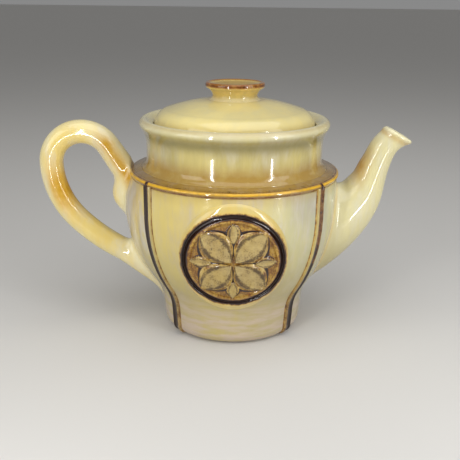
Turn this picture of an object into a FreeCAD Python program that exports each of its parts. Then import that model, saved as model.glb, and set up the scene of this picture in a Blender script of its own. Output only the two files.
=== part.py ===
import FreeCAD, Part
import math
import os
import Sketcher
from FreeCAD import Placement, Rotation, Vector

# Stoneware teapot with a lift-off lid, in millimetres, +Z up.
# The origin is the middle of the flat base. The spout points along +X, the handle along -X,
# and the front of the pot faces -Y.

doc = FreeCAD.newDocument("Teapot")

# Driving dimensions

SIZES = {
    # belly
    "foot_radius": 45.4,
    "foot_rounding": 7.5,
    "foot_taper": 0.8,
    "foot_top_height": 18.0,
    "waist_curve": 31.0,
    "flank_flare": 5.0,
    "flank_rise": 15.0,
    "belly_radius": 65.4,
    "belly_rise": 51.0,
    "belly_curve": 94.0,
    "shoulder_overhang": 0.9,
    "shoulder_rise": 20.0,
    "shoulder_rounding": 1.6,
    "ledge_rise": 1.5,
    "wall": 4.6,
    "floor": 6.5,
    "floor_fillet": 7.0,
    # neck, rim and gallery
    "collar_foot_radius": 57.6,
    "collar_fillet_rise": 3.8,
    "collar_fillet_curve": 4.8,
    "neck_radius": 55.0,
    "neck_wall": 4.5,
    "neck_rise": 17.0,
    "rim_radius": 59.5,
    "rim_rise": 13.5,
    "rim_roll": 3.3,
    "rim_tuck_angle": 47.0,
    "rim_slope": 2.6,
    "seat_drop": 6.2,
    "seat_width": 4.6,
    "seat_thickness": 4.0,
    # lid
    "lid_radius": 50.2,
    "lid_gap": 0.3,
    "lid_edge_height": 2.2,
    "lid_edge_curve": 10.5,
    "lid_crown_inset": 8.2,
    "lid_crown_rise": 9.1,
    "lid_crown_curve": 125.0,
    "lid_top_rise": 5.6,
    "lid_thickness": 4.2,
    "flange_clearance": 0.9,
    "flange_wall": 3.6,
    "flange_depth": 9.0,
    "flange_bevel": 1.0,
    "vent_radius": 2.0,
    "vent_offset": 27.0,
    # knob
    "knob_foot_radius": 17.4,
    "knob_waist_radius": 13.9,
    "knob_waist_rise": 2.6,
    "knob_fillet": 3.6,
    "knob_radius": 18.4,
    "knob_band": 3.0,
    "knob_rise": 10.6,
    "knob_lip": 2.4,
    "knob_bevel": 0.6,
    "knob_rounding": 1.0,
    "knob_flare_curve": 6.5,
    "knob_dish": 3.2,
    "knob_dish_curve": 40.0,
    # handle
    "handle_thickness": 15.0,
    "handle_reach": 116.6,
    "handle_bow_radius": 20.0,
    "handle_bow_rise": 1.6,
    "handle_run_angle": 33.0,
    "handle_back_curve": 53.0,
    "handle_back_turn": 45.0,
    "handle_lower_curve": 113.0,
    "handle_lower_turn": 18.0,
    "handle_upper_depth": 9.0,
    "handle_upper_spread": 9.0,
    "handle_lower_depth": 15.0,
    "handle_lower_spread": 15.0,
    "tail_drop": 16.0,
    "tail_half_height": 12.5,
    "tail_half_width": 8.5,
    "tail_stand": 12.3,
    "strap_proud": 5.4,
    "strap_half_width": 15.0,
    "strap_depth": 6.0,
    # spout
    "spout_wall": 3.2,
    "spout_spine_curve": 118.0,
    "spout_lip_rounding": 0.9,
    # spout sections from the root to the mouth: how far past the belly, how far above the shoulder,
    # half the length in the upright plane, half the width across, and the tilt of the long axis
    "spout_reach_0": -9.4,
    "spout_rise_0": -44.0,
    "spout_half_length_0": 34.0,
    "spout_half_width_0": 21.0,
    "spout_tilt_angle_0": 74.0,
    "spout_reach_1": 7.1,
    "spout_rise_1": -31.7,
    "spout_half_length_1": 23.0,
    "spout_half_width_1": 17.0,
    "spout_tilt_angle_1": 94.0,
    "spout_reach_2": 18.9,
    "spout_rise_2": -15.5,
    "spout_half_length_2": 14.8,
    "spout_half_width_2": 12.5,
    "spout_tilt_angle_2": 124.0,
    "spout_reach_3": 24.0,
    "spout_rise_3": 1.3,
    "spout_half_length_3": 9.8,
    "spout_half_width_3": 9.3,
    "spout_tilt_angle_3": 156.0,
    "spout_reach_4": 29.8,
    "spout_rise_4": 15.0,
    "spout_half_length_4": 8.7,
    "spout_half_width_4": 8.0,
    "spout_tilt_angle_4": 156.0,
    "spout_reach_5": 38.7,
    "spout_rise_5": 22.5,
    "spout_half_length_5": 10.2,
    "spout_half_width_5": 8.5,
    "spout_tilt_angle_5": 151.0,
    # strainer behind the spout
    "strainer_drop": 38.0,
    "strainer_radius": 12.5,
    "strainer_hole_radius": 2.0,
    "strainer_pitch": 7.4,
    # applied relief
    "medallion_drop": 42.0,
    "medallion_half_width": 32.6,
    "medallion_half_height": 37.0,
    "medallion_field_radius": 29.6,
    "medallion_ring_proud": 2.4,
    "medallion_field_proud": 0.7,
    "petal_length": 26.6,
    "petal_half_width": 9.6,
    "petal_start": 1.6,
    "petal_proud": 2.6,
    "rib_angle": 51.0,
    "rib_proud": 1.5,
    "rib_web": 0.5,
    "rib_bead_width": 2.8,
    "rib_ridge_width": 1.6,
    "rib_groove_width": 3.0,
    "rib_base_height": 1.5,
    # how far a cutting tool runs past the face that it opens
    "cut_margin": 1.5,
}

sheet = doc.addObject("Spreadsheet::Sheet", "dims")
for row, (name, value) in enumerate(SIZES.items(), start=1):
    sheet.set("A%d" % row, name)
    sheet.set("B%d" % row, str(value))
    sheet.setAlias("B%d" % row, name)
doc.recompute()


AXIS_Y, AXIS_Z = Vector(0, 1, 0), Vector(0, 0, 1)


class Size:
    """A length or angle with its number and the spreadsheet formula that gives it."""

    def __init__(self, value, text):
        self.value = value
        self.text = text

    def __add__(self, other):
        other = as_size(other)
        return Size(self.value + other.value, "(%s + %s)" % (self.text, other.text))

    def __sub__(self, other):
        other = as_size(other)
        return Size(self.value - other.value, "(%s - %s)" % (self.text, other.text))

    def __rsub__(self, other):
        return as_size(other) - self

    def __mul__(self, other):
        other = as_size(other)
        return Size(self.value * other.value, "(%s * %s)" % (self.text, other.text))

    def __truediv__(self, other):
        other = as_size(other)
        return Size(self.value / other.value, "(%s / %s)" % (self.text, other.text))

    def __neg__(self):
        return Size(-self.value, "(0 - %s)" % self.text)

    __radd__ = __add__
    __rmul__ = __mul__


def as_size(number):
    return number if isinstance(number, Size) else Size(float(number), repr(float(number)))


def dim(name):
    return Size(float(sheet.get(name)), "dims." + name)


def cosine(angle):
    return Size(math.cos(math.radians(angle.value)), "cos(%s * 1 deg)" % angle.text)


def sine(angle):
    return Size(math.sin(math.radians(angle.value)), "sin(%s * 1 deg)" % angle.text)


def bind(item, **sizes):
    """Set properties of a document object from sizes and keep them bound to the sheet."""
    for prop, amount in sizes.items():
        amount = as_size(amount)
        setattr(item, prop, amount.value)
        item.setExpression(prop, amount.text)


def place(item, x=0.0, y=0.0, z=0.0, axis=AXIS_Z, angle=0.0):
    """Put an object at a bound place, turned by a bound angle in degrees about an axis."""
    x, y, z, angle = as_size(x), as_size(y), as_size(z), as_size(angle)
    if angle.value < 0:
        axis, angle = -axis, -angle
    if angle.value > 180:
        axis, angle = -axis, 360 - angle
    item.Placement = Placement(Vector(x.value, y.value, z.value), Rotation(axis, angle.value))
    item.setExpression("Placement.Base.x", x.text)
    item.setExpression("Placement.Base.y", y.text)
    item.setExpression("Placement.Base.z", z.text)
    item.setExpression("Placement.Rotation.Angle", angle.text)
    return item


# Sketches and lathe work

def new_sketch(body, name, plane):
    """An empty sketch on one of a body's own origin planes."""
    support = [item for item in body.Origin.OriginFeatures if item.Role == plane][0]
    sketch = body.newObject("Sketcher::SketchObject", name)
    sketch.AttachmentSupport = [(support, "")]
    sketch.MapMode = "FlatFace"
    return sketch


class Outline:
    """A chain of lines and arcs in an upright sketch, with every corner and radius bound to sizes."""

    def __init__(self, body, name):
        self.sketch = new_sketch(body, name, "XZ_Plane")
        self.corners = []
        self.arcs = []

    def start(self, x, z):
        self.corners.append((as_size(x), as_size(z)))
        return self

    def line(self, x, z):
        self.arcs.append(None)
        return self.start(x, z)

    def arc(self, x, z, radius, turn):
        """An arc to the next corner; turn is +1 counterclockwise or -1 clockwise."""
        self.arcs.append((as_size(radius), turn))
        return self.start(x, z)

    def close(self):
        self.arcs.append(None)
        self.corners.append(self.corners[0])
        self.build(closed=True)
        return self.sketch

    def close_on_start(self):
        """Close a chain whose last corner is already its first one."""
        self.corners[-1] = self.corners[0]
        self.build(closed=True)
        return self.sketch

    def finish(self):
        self.build(closed=False)
        return self.sketch

    def build(self, closed):
        ends = []
        for index, arc in enumerate(self.arcs):
            a = self.point(index)
            b = self.point(index + 1)
            if arc is None:
                geometry = self.sketch.addGeometry(Part.LineSegment(a, b))
                ends.append((geometry, 1, 2))
                continue
            radius, turn = arc
            geometry = self.sketch.addGeometry(arc_between(a, b, radius.value, turn))
            ends.append((geometry, 1, 2) if turn > 0 else (geometry, 2, 1))
            self.bound("Radius", radius, geometry)
        for index in range(len(ends) - (0 if closed else 1)):
            here, following = ends[index], ends[(index + 1) % len(ends)]
            joint = (here[0], here[2], following[0], following[1])
            self.sketch.addConstraint(Sketcher.Constraint("Coincident", *joint))
        for index, end in enumerate(ends):
            self.pin(end[0], end[1], self.corners[index])
        if not closed:
            self.pin(ends[-1][0], ends[-1][2], self.corners[-1])

    def point(self, index):
        x, z = self.corners[index]
        return Vector(x.value, z.value, 0)

    def pin(self, geometry, end, corner):
        for kind, amount, axis in (("DistanceX", corner[0], -2), ("DistanceY", corner[1], -1)):
            if amount.value == 0:
                on_axis = Sketcher.Constraint("PointOnObject", geometry, end, axis)
                self.sketch.addConstraint(on_axis)
            elif amount.value > 0:
                self.bound(kind, amount, -1, 1, geometry, end)
            else:
                self.bound(kind, -amount, geometry, end, -1, 1)

    def bound(self, kind, amount, *where):
        index = self.sketch.addConstraint(Sketcher.Constraint(kind, *where, amount.value))
        self.sketch.setExpression("Constraints[%d]" % index, amount.text)


def arc_between(a, b, radius, turn):
    """The short arc of a radius from a to b, counterclockwise where turn is +1."""
    chord = b - a
    half = chord.Length / 2
    rise = math.sqrt(max(radius * radius - half * half, 0.0))
    side = Vector(-chord.y, chord.x, 0).normalize() * turn
    centre = (a + b) * 0.5 + side * rise
    first, last = (a, b) if turn > 0 else (b, a)
    start = math.atan2(first.y - centre.y, first.x - centre.x)
    stop = math.atan2(last.y - centre.y, last.x - centre.x)
    return Part.ArcOfCircle(Part.Circle(centre, AXIS_Z, radius), start, stop)


def turned(name, draw):
    """A body turned about the upright axis from the outline that draw gives."""
    body = doc.addObject("PartDesign::Body", name)
    outline = draw(Outline(body, name + "_profile"))
    turning = body.newObject("PartDesign::Revolution", name + "_turned")
    turning.Profile = outline
    turning.ReferenceAxis = (outline, ["V_Axis"])
    turning.Angle = 360
    return body


def cut(name, base, tool):
    item = doc.addObject("Part::Cut", name)
    item.Base, item.Tool = base, tool
    return item


def common(name, base, tool):
    item = doc.addObject("Part::Common", name)
    item.Base, item.Tool = base, tool
    return item


def fuse(name, pieces):
    item = doc.addObject("Part::MultiFuse", name)
    item.Shapes = pieces
    return item


# Belly

flank_height = dim("foot_top_height") + dim("flank_rise")
belly_height = flank_height + dim("belly_rise")
foot_top_radius = dim("foot_radius") + dim("foot_taper")
flank_radius = foot_top_radius + dim("flank_flare")
shoulder_height = belly_height + dim("shoulder_rise")
shoulder_radius = dim("belly_radius") + dim("shoulder_overhang")
ledge_top = shoulder_height + dim("ledge_rise")
under_edge = shoulder_height - 2 * dim("shoulder_rounding")
throat_radius = dim("neck_radius") - dim("neck_wall")


def belly_outside(outline, proud=0.0):
    """From the axis along the base and up the outer curve to the belly, all standing proud."""
    foot, rounding = dim("foot_radius"), dim("foot_rounding")
    outline.start(0, -as_size(proud))
    outline.line(foot - rounding, -as_size(proud))
    outline.arc(foot + proud, rounding, rounding + proud, 1)
    outline.line(foot_top_radius + proud, dim("foot_top_height"))
    outline.arc(flank_radius + proud, flank_height, dim("waist_curve"), -1)
    outline.arc(dim("belly_radius") + proud, belly_height, dim("belly_curve"), 1)
    outline.line(dim("belly_radius") + proud, under_edge)


def shoulder_edge(outline):
    """Round the overhanging edge and in along the ledge to the collar."""
    edge, rounding = shoulder_radius, dim("shoulder_rounding")
    outline.line(edge, shoulder_height - rounding)
    outline.arc(edge - rounding, shoulder_height, rounding, 1)
    outline.line(dim("collar_foot_radius"), ledge_top)


def draw_belly(outline):
    belly_outside(outline)
    shoulder_edge(outline)
    outline.line(0, ledge_top)
    return outline.close()


def draw_pot_shell(outline):
    wall, fillet = dim("wall"), dim("floor_fillet")
    inner_belly, inner_foot = dim("belly_radius") - wall, dim("foot_radius") - wall
    ceiling = ledge_top - wall
    belly_outside(outline)
    shoulder_edge(outline)
    outline.line(throat_radius, ledge_top)
    outline.line(throat_radius, ceiling)
    outline.line(inner_belly - wall, ceiling - wall)
    outline.line(inner_belly, ceiling - 2 * wall)
    outline.line(inner_belly, belly_height)
    outline.arc(
        flank_radius - wall, flank_height + wall / 2, dim("belly_curve") - wall, -1)
    outline.line(foot_top_radius - wall, dim("foot_top_height") + wall / 2)
    outline.line(inner_foot, dim("floor") + fillet)
    outline.arc(inner_foot - fillet, dim("floor"), fillet, -1)
    outline.line(0, dim("floor"))
    return outline.close()


belly_form = turned("belly_form", draw_belly)
pot_shell = turned("pot_shell", draw_pot_shell)


def strainer_bore(name, radius, y=0.0, z=0.0):
    """A cylinder along the spout's direction through the belly's wall."""
    bore = doc.addObject("Part::Cylinder", name)
    bind(bore, Radius=radius, Height=dim("belly_radius"))
    return place(
        bore, dim("belly_radius") / 2, y, shoulder_height - dim("strainer_drop") + z, AXIS_Y, 90)


def ring_of_shell(name, low, high):
    """The part of the turned shell between two heights, as it is built up from foot to shoulder."""
    slab = doc.addObject("Part::Cylinder", name + "_slab")
    bind(slab, Radius=shoulder_radius + dim("cut_margin"), Height=high - low)
    return common(name, pot_shell, place(slab, 0, 0, low))


base_top = dim("foot_top_height") + dim("wall") / 2
wall_top = ledge_top - 3 * dim("wall")
pot_base = ring_of_shell("pot_base", 0, base_top)
pot_wall = ring_of_shell("pot_wall", base_top, wall_top)
pot_shoulder = ring_of_shell("pot_shoulder", wall_top, ledge_top)
pot_body = cut("pot_body", pot_wall, strainer_bore("spout_opening", dim("strainer_radius")))

# The strainer is the disc of wall left in the opening, pierced by a ring of holes about a middle one.

strainer_disc = common(
    "strainer_disc", pot_shell, strainer_bore("strainer_blank", dim("strainer_radius")))
strainer_holes = [strainer_bore("strainer_hole_0", dim("strainer_hole_radius"))]
for index in range(6):
    turn = math.radians(60 * index)
    strainer_holes.append(strainer_bore(
        "strainer_hole_%d" % (index + 1), dim("strainer_hole_radius"),
        dim("strainer_pitch") * math.cos(turn), dim("strainer_pitch") * math.sin(turn)))
strainer = cut("strainer", strainer_disc, fuse("strainer_drills", strainer_holes))


# Neck, rim and gallery

flare_height = ledge_top + dim("neck_rise")
rim_height = flare_height + dim("rim_rise")
seat_height = rim_height - dim("seat_drop")


def draw_collar(outline):
    neck, top, roll = dim("neck_radius"), rim_height, dim("rim_roll")
    crest = dim("rim_radius") - roll
    tuck = dim("rim_tuck_angle")
    lip_x, lip_z = crest + roll * cosine(tuck), top - roll - roll * sine(tuck)
    flare_out, flare_up = lip_x - neck, lip_z - flare_height
    flare_curve = (flare_out * flare_out + flare_up * flare_up) / (2 * flare_out)
    shelf, seat = dim("lid_radius") + dim("lid_gap"), seat_height
    inner_lip, underside = shelf - dim("seat_width"), seat - dim("seat_thickness")
    outline.start(throat_radius, ledge_top)
    outline.line(dim("collar_foot_radius"), ledge_top)
    outline.arc(neck, ledge_top + dim("collar_fillet_rise"), dim("collar_fillet_curve"), -1)
    outline.line(neck, flare_height)
    outline.arc(lip_x, lip_z, flare_curve, -1)
    outline.arc(crest, top, roll, 1)
    outline.line(shelf, top - dim("rim_slope"))
    outline.line(shelf, seat)
    outline.line(inner_lip, seat)
    outline.line(inner_lip, underside)
    outline.line(throat_radius, underside - dim("seat_width"))
    return outline.close()


neck_collar = turned("neck_collar", draw_collar)


# Lid

lid_seat = seat_height + dim("lid_gap")
lid_crown_height = lid_seat + dim("lid_edge_height") + dim("lid_crown_rise")
lid_top_height = lid_crown_height + dim("lid_top_rise")
knob_height = lid_top_height + dim("knob_rise")
flange_radius = dim("lid_radius") + dim("lid_gap") - dim("seat_width") - dim("flange_clearance")


def draw_lid_dome(outline):
    edge, crown = dim("lid_radius"), dim("lid_radius") - dim("lid_crown_inset")
    thick = dim("lid_thickness")
    outline.start(0, lid_top_height)
    outline.line(0, lid_top_height - thick)
    outline.line(dim("knob_foot_radius"), lid_top_height - thick)
    outline.arc(crown - thick, lid_crown_height - thick, dim("lid_crown_curve"), -1)
    outline.line(flange_radius - dim("flange_wall"), lid_seat)
    outline.line(edge, lid_seat)
    outline.line(edge, lid_seat + dim("lid_edge_height"))
    outline.arc(crown, lid_crown_height, dim("lid_edge_curve"), 1)
    outline.arc(dim("knob_foot_radius"), lid_top_height, dim("lid_crown_curve"), 1)
    return outline.close()


def draw_lid_flange(outline):
    inside = flange_radius - dim("flange_wall")
    outline.start(inside, lid_seat)
    outline.line(inside, lid_seat - dim("flange_depth"))
    outline.line(flange_radius - dim("flange_bevel"), lid_seat - dim("flange_depth"))
    outline.line(flange_radius, lid_seat - dim("flange_depth") + dim("flange_bevel"))
    outline.line(flange_radius, lid_seat)
    return outline.close()


def draw_lid_knob(outline):
    foot, waist, rim = dim("knob_foot_radius"), dim("knob_waist_radius"), dim("knob_radius")
    base, top = lid_top_height, knob_height
    waist_height = base + dim("knob_waist_rise")
    band_foot, bevel, rounding = top - dim("knob_band"), dim("knob_bevel"), dim("knob_rounding")
    outline.start(0, base)
    outline.line(foot, base)
    outline.arc(waist, waist_height, dim("knob_fillet"), -1)
    outline.arc(rim - bevel, band_foot - bevel, dim("knob_flare_curve"), -1)
    outline.line(rim, band_foot)
    outline.line(rim, top - rounding)
    outline.arc(rim - rounding, top, rounding, 1)
    outline.line(rim - dim("knob_lip"), top)
    outline.arc(0, top - dim("knob_dish"), dim("knob_dish_curve"), -1)
    return outline.close()


lid_cover = turned("lid_cover", draw_lid_dome)
vent = doc.addObject("Part::Cylinder", "vent")
bind(vent, Radius=dim("vent_radius"), Height=lid_top_height)
place(vent, 0, dim("vent_offset"), lid_top_height / 2)
lid_dome = cut("lid_dome", lid_cover, vent)
lid_flange = turned("lid_flange", draw_lid_flange)
lid_knob = turned("lid_knob", draw_lid_knob)


# Handle: a round rod on a run, a bow and two long curves, with spread roots, a tail and a strap

reach, bow = dim("handle_reach"), dim("handle_bow_radius")
bow_height = shoulder_height + dim("handle_bow_rise")
run_angle, back_turn = dim("handle_run_angle"), dim("handle_back_turn")
whole_turn = back_turn + dim("handle_lower_turn")
upper_root_radius = dim("belly_radius") - dim("handle_upper_depth")
lower_root_radius = flank_radius - dim("handle_lower_depth")
bow_start = (bow - reach + bow * cosine(run_angle), bow_height + bow * sine(run_angle))
upper_run = (-upper_root_radius - bow_start[0]) / sine(run_angle)
upper_root = (-upper_root_radius, bow_start[1] - upper_run * cosine(run_angle))
back_curve, lower_curve = dim("handle_back_curve"), dim("handle_lower_curve")
back_end = (back_curve - reach - back_curve * cosine(back_turn), bow_height - back_curve * sine(back_turn))
lower_end = (
    back_end[0] + lower_curve * (cosine(back_turn) - cosine(whole_turn)),
    back_end[1] + lower_curve * (sine(back_turn) - sine(whole_turn)))
lower_run = (-lower_root_radius - lower_end[0]) / sine(whole_turn)
lower_root = (-lower_root_radius, lower_end[1] - lower_run * cosine(whole_turn))

handle_rod = doc.addObject("PartDesign::Body", "handle_rod")
handle_path = Outline(handle_rod, "handle_path")
handle_path.start(*upper_root)
handle_path.line(*bow_start)
handle_path.arc(-reach, bow_height, bow, 1)
handle_path.arc(*back_end, back_curve, 1)
handle_path.arc(*lower_end, lower_curve, 1)
handle_path.line(*lower_root)
rod_spine = handle_path.finish()

rod_radius = dim("handle_thickness") / 2
rod_section = new_sketch(handle_rod, "rod_section", "XY_Plane")
rod_section.AttachmentOffset = Placement(
    Vector(upper_root[0].value, 0, upper_root[1].value), Rotation(-AXIS_Y, run_angle.value))
rod_section.setExpression("AttachmentOffset.Base.x", upper_root[0].text)
rod_section.setExpression("AttachmentOffset.Base.z", upper_root[1].text)
rod_section.setExpression("AttachmentOffset.Rotation.Angle", run_angle.text)
rod_circle = rod_section.addGeometry(Part.Circle(Vector(0, 0, 0), AXIS_Z, rod_radius.value))
rod_section.addConstraint(Sketcher.Constraint("Coincident", rod_circle, 3, -1, 1))
rod_size = rod_section.addConstraint(Sketcher.Constraint("Radius", rod_circle, rod_radius.value))
rod_section.setExpression("Constraints[%d]" % rod_size, rod_radius.text)
doc.recompute()
rod = handle_rod.newObject("PartDesign::AdditivePipe", "rod")
rod.Profile = rod_section
rod.Spine = (rod_spine, ["Edge%d" % (index + 1) for index in range(len(handle_path.arcs))])


def root_flare(name, corner, angle, length, spread):
    """A cone that widens the rod towards the belly, along a run leaning by an angle."""
    flare = doc.addObject("Part::Cone", name)
    bind(flare, Radius1=rod_radius, Radius2=spread, Height=length)
    return place(flare, corner[0], 0, corner[1], AXIS_Y, 180 - angle)


upper_flare = root_flare(
    "upper_flare", bow_start, run_angle, upper_run, dim("handle_upper_spread"))
lower_flare = root_flare(
    "lower_flare", lower_end, whole_turn, lower_run, dim("handle_lower_spread"))

tail = doc.addObject("Part::Ellipsoid", "tail")
bind(
    tail, Radius1=dim("tail_half_height"), Radius2=dim("tail_stand"), Radius3=dim("tail_half_width"))
place(tail, -dim("belly_radius"), 0, shoulder_height - dim("tail_drop"))


def ellipse(name, half_long, half_short):
    item = doc.addObject("Part::Ellipse", name)
    bind(item, MajorRadius=half_long, MinorRadius=half_short)
    return item


def loft(name, sections):
    item = doc.addObject("Part::Loft", name)
    item.Sections = sections
    item.Solid = True
    return item


def strap_station(name, radius, height, share):
    """A level ellipse that stands proud of the belly on the handle's side by a share of the full."""
    station = ellipse(name, dim("strap_half_width"), dim("strap_depth") + dim("strap_proud") * share)
    return place(station, dim("strap_depth") - radius, 0, height, AXIS_Z, 90)


strap = loft("strap", [
    strap_station("strap_top", dim("belly_radius"), under_edge, 0.2),
    strap_station("strap_high", dim("belly_radius"), belly_height, 1.0),
    strap_station("strap_flank", flank_radius, flank_height, 0.9),
    strap_station("strap_waist", foot_top_radius, dim("foot_top_height"), 0.3),
    strap_station("strap_end", dim("foot_radius"), dim("foot_rounding"), 0.0)])
handle = cut(
    "handle", fuse("handle_form", [handle_rod, upper_flare, lower_flare, tail, strap]), belly_form)


# Spout

def spout_station(index, inset, name, past=0.0):
    """One section of the spout, set in by a wall and moved past its place along the spout."""
    tilt = dim("spout_tilt_angle_%d" % index)
    station = ellipse(
        "%s_%d" % (name, index),
        dim("spout_half_length_%d" % index) - inset, dim("spout_half_width_%d" % index) - inset)
    x = dim("belly_radius") + dim("spout_reach_%d" % index) + past * sine(tilt)
    z = shoulder_height + dim("spout_rise_%d" % index) - past * cosine(tilt)
    return place(station, x, 0, z, AXIS_Y, -tilt)


mouth = 5
spout_frame = doc.addObject("PartDesign::Body", "spout_frame")
spout_spine = Outline(spout_frame, "spout_spine")
spout_spine.start(dim("belly_radius") + dim("spout_reach_0"), shoulder_height + dim("spout_rise_0"))
spout_spine.arc(
    dim("belly_radius") + dim("spout_reach_%d" % mouth), shoulder_height + dim("spout_rise_%d" % mouth),
    dim("spout_spine_curve"), 1)
spout_line = spout_spine.finish()


def along_spine(name, sections):
    """A solid that passes through the sections in turn, guided by the spout's spine."""
    sweep = doc.addObject("Part::Sweep", name)
    sweep.Sections = sections
    sweep.Spine = (spout_line, ["Edge1"])
    sweep.Solid = True
    return sweep


spout_outside = along_spine("spout_outside", [
    spout_station(index, 0, "spout_section") for index in range(mouth + 1)])
spout_inside = along_spine("spout_inside", [
    spout_station(index, dim("spout_wall"), "channel_section", dim("cut_margin") if index == mouth else 0.0)
    for index in range(mouth + 1)])
spout_tube = cut("spout_tube", spout_outside, spout_inside)
spout_cut = cut("spout_cut", spout_tube, belly_form)
doc.recompute()
mouth_tilt = math.radians(dim("spout_tilt_angle_%d" % mouth).value)
mouth_normal = Vector(math.sin(mouth_tilt), 0, -math.cos(mouth_tilt))
mouth_centre = doc.getObject("spout_section_%d" % mouth).Placement.Base
lip_rounding = dim("spout_lip_rounding").value
spout = doc.addObject("Part::Fillet", "spout")
spout.Base = spout_cut
spout.Edges = [
    (index, lip_rounding, lip_rounding)
    for index, edge in enumerate(spout_cut.Shape.Edges, start=1)
    if all(abs((point - mouth_centre).dot(mouth_normal)) < 0.001 for point in edge.discretize(5))]


# Applied relief

def relief_form(name, proud):
    """The belly filled to its axis and standing proud, which gives applied pieces their outside."""

    def draw(outline):
        belly_outside(outline, dim(proud))
        outline.line(0, under_edge)
        return outline.close()

    return turned(name, draw)


ring_form = relief_form("ring_form", "medallion_ring_proud")
field_form = relief_form("field_form", "medallion_field_proud")
petal_form = relief_form("petal_form", "petal_proud")
rib_form = relief_form("rib_form", "rib_proud")
web_form = relief_form("web_form", "rib_web")
medallion_height = shoulder_height - dim("medallion_drop")
prism_depth = dim("belly_radius") + dim("petal_proud") + dim("cut_margin")


def oval_prism(name, half_width, half_height, facing):
    """An upright oval drawn through the pot from its axis out of the front or the back."""
    base = ellipse(name + "_outline", half_height, half_width)
    place(base, 0, 0, medallion_height, Vector(1, 1, 1), 240)
    prism = doc.addObject("Part::Extrusion", name)
    prism.Base = base
    prism.DirMode = "Custom"
    prism.Dir = Vector(0, facing, 0)
    prism.Solid = True
    bind(prism, LengthFwd=prism_depth)
    return prism


def petal_prism(name, angle, facing):
    """A pointed petal as a prism, turned about the medallion's middle."""
    body = doc.addObject("PartDesign::Body", name)
    inner, outer = dim("petal_start"), dim("petal_length")
    chord = outer - inner
    curve = (chord * chord / 4 + dim("petal_half_width") * dim("petal_half_width"))
    curve = curve / (2 * dim("petal_half_width"))
    outline = Outline(body, name + "_outline")
    outline.start(inner, 0)
    outline.arc(outer, 0, curve, 1)
    outline.arc(inner, 0, curve, 1)
    sketch = outline.close_on_start()
    pad = body.newObject("PartDesign::Pad", name + "_pad")
    pad.Profile = sketch
    bind(pad, Length=prism_depth)
    pad.Reversed = facing > 0
    place(body, 0, 0, medallion_height, AXIS_Y, angle)
    return body


def medallion(name, facing):
    """A raised oval ring round a low field with four pointed petals."""
    field = oval_prism(
        name + "_field", dim("medallion_field_radius"), dim("medallion_field_radius"), facing)
    border = cut(name + "_border", oval_prism(
        name + "_oval", dim("medallion_half_width"), dim("medallion_half_height"), facing), field)
    pieces = [
        common(name + "_floor", field_form, field),
        common(name + "_ring", ring_form, border)]
    for index in range(4):
        petal = petal_prism("%s_petal_%d" % (name, index), 45 + 90 * index, facing)
        pieces.append(common("%s_raised_%d" % (name, index), petal_form, petal))
    return cut(name, fuse(name + "_relief", pieces), belly_form)


front_medallion = medallion("front_medallion", -1)
back_medallion = medallion("back_medallion", 1)


def rib_slice(name, angle, low, width):
    """An upright slab along one meridian, from a sideways offset and as wide as given."""
    slab = doc.addObject("Part::Box", name)
    bind(slab, Length=prism_depth, Width=width, Height=under_edge - dim("rib_base_height"))
    return place(
        slab, low * cosine(angle), low * sine(angle), dim("rib_base_height"), AXIS_Z, angle - 90)


def rib(name, angle, panel_side):
    """A wide bead on the panel's side, a groove, and a thin ridge, on one thin web."""
    half_groove = dim("rib_groove_width") / 2
    bead, ridge = dim("rib_bead_width"), dim("rib_ridge_width")
    if panel_side > 0:
        bead_low, ridge_low, web_low = half_groove, -half_groove - ridge, -half_groove - ridge
    else:
        bead_low, ridge_low, web_low = -half_groove - bead, half_groove, -half_groove - bead
    web_width = dim("rib_groove_width") + bead + ridge
    pieces = [
        common(name + "_bead", rib_form, rib_slice(name + "_bead_slab", angle, bead_low, bead)),
        common(name + "_ridge", rib_form, rib_slice(name + "_ridge_slab", angle, ridge_low, ridge)),
        common(name + "_web", web_form, rib_slice(name + "_web_slab", angle, web_low, web_width))]
    return cut(name, fuse(name + "_form", pieces), belly_form)


rib_angle = dim("rib_angle")
ribs = [
    rib("front_left_rib", -rib_angle, 1),
    rib("front_right_rib", rib_angle, -1),
    rib("back_right_rib", 180 - rib_angle, 1),
    rib("back_left_rib", 180 + rib_angle, -1)]

# Every sub-part is checked before any is written

doc.recompute()
sub_parts = [
    pot_base, pot_body, pot_shoulder, neck_collar, handle, spout, strainer, front_medallion, back_medallion, *ribs,
    lid_dome, lid_flange, lid_knob]
for item in doc.Objects:
    if "Invalid" in item.State or "Error" in item.State:
        raise RuntimeError("%s could not be built" % item.Name)
for item in sub_parts:
    shape = item.Shape
    if shape.isNull() or not shape.isValid() or len(shape.Solids) != 1:
        raise RuntimeError("%s is not one sound solid (%d)" % (item.Name, len(shape.Solids)))
    print("%-16s %8.2f cm3" % (item.Label, shape.Volume / 1000))

os.makedirs("parts", exist_ok=True)
for item in sub_parts:
    item.Shape.exportStep("parts/%s.step" % item.Label)
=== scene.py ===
import math

import bmesh
import bpy
import numpy as np
from mathutils import Matrix, Vector


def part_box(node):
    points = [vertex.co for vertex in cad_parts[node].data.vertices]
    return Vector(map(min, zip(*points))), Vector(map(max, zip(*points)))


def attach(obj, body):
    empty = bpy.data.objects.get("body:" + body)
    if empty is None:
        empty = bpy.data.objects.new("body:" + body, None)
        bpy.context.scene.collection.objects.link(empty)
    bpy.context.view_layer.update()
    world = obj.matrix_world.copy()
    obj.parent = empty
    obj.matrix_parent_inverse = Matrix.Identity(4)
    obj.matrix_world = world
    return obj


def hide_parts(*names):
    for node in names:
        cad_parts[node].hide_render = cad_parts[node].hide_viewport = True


# Glazed stoneware teapot. Lengths are millimetres in the pot's own frame: +Z up, the spout along +X,
# the handle along -X, the front towards -Y. Glaze shaders, floor and lamps take metres.

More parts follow.
